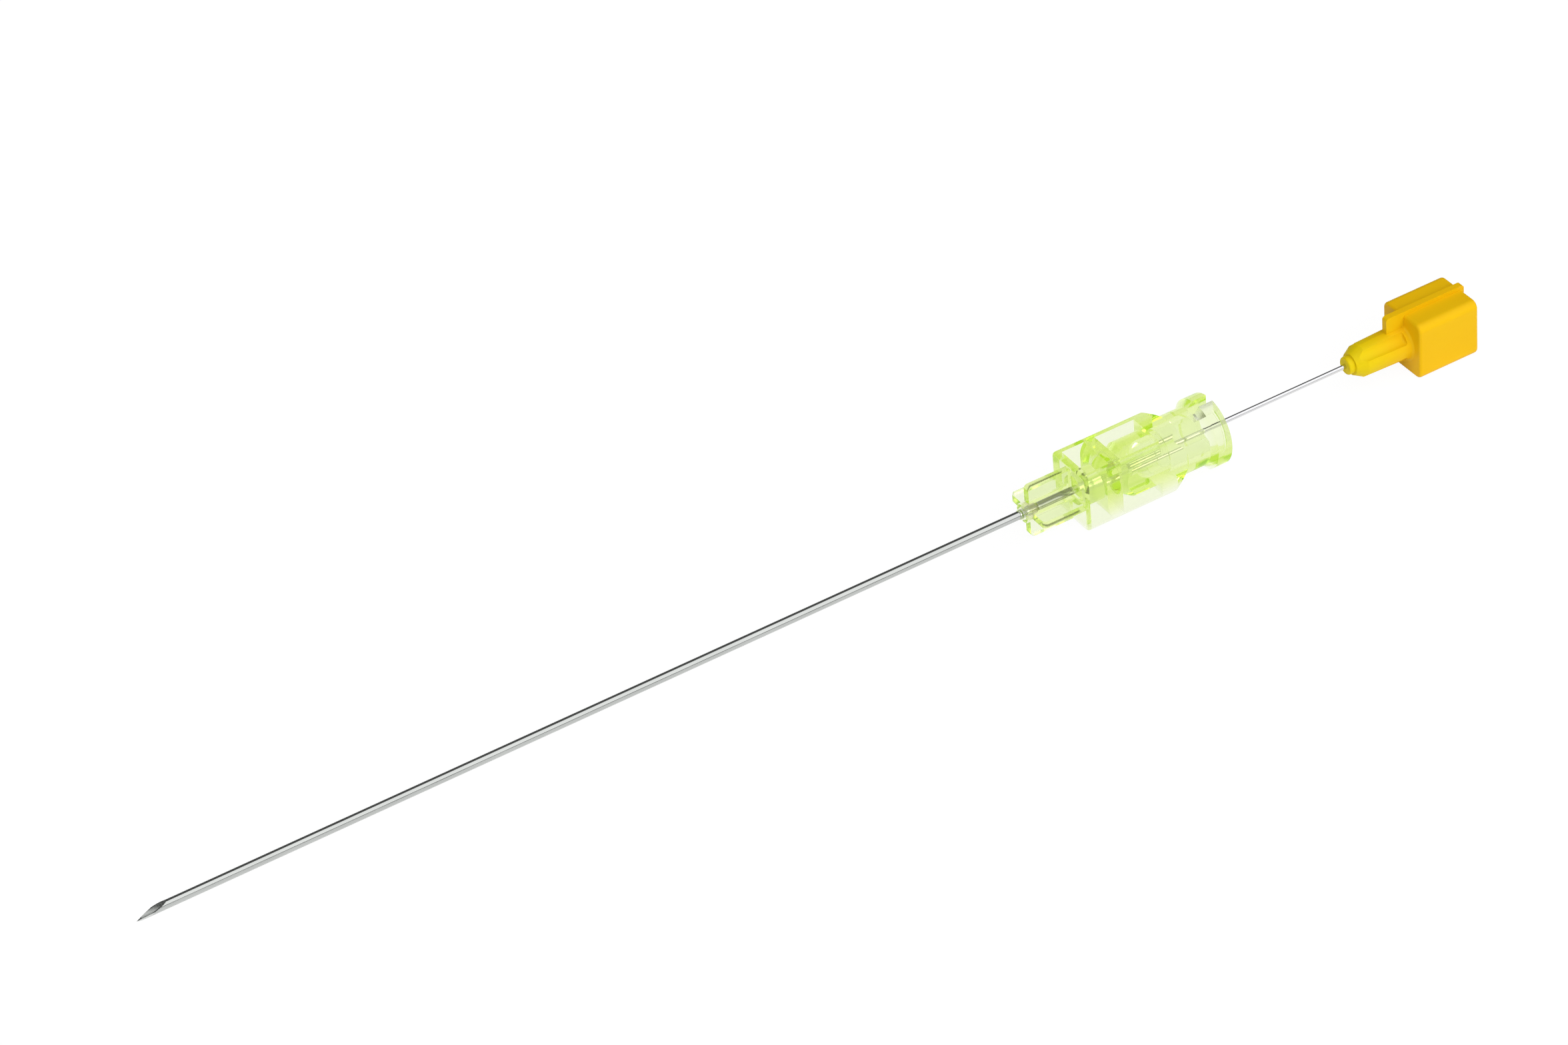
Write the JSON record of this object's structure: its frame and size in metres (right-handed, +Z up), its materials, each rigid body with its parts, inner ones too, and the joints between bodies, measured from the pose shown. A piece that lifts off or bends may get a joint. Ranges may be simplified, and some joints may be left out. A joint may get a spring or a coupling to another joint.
{
  "type": "spinal needle",
  "caption": "Spinal needle with a long bevelled steel cannula, a clear finned hub with a luer socket, and a keyed yellow stylet drawn part way out.",
  "frame": {"origin": "on the bore axis, in the plane of the hub nozzle's front face, where the cannula leaves the hub", "axes": "+X along the bore from the bevelled tip towards the stylet cap, +Z up through the key slot, -Y the side the picture shows"},
  "size_m": [0.1552, 0.0078, 0.0073],
  "materials": {
    "cannula_steel": "drawn and polished stainless steel tube",
    "clear_plastic": "clear moulded plastic, yellow-green in depth",
    "bond": "cured clear adhesive with a beige cast",
    "stylet_steel": "drawn stainless steel wire",
    "cap_plastic": "opaque yellow moulding with a soft sheen"
  },
  "bodies": {
    "needle": {"cannula": "cannula_steel", "hub": "clear_plastic", "adhesive": "bond"},
    "stylet": {"stylet_wire": "stylet_steel", "stylet_cap": "cap_plastic"}
  },
  "joints": [
    {"name": "stylet_slide", "type": "slide", "parent": "needle", "child": "stylet", "axis": [1, 0, 0], "range_m": [-0.024, 0.1]}
  ]
}
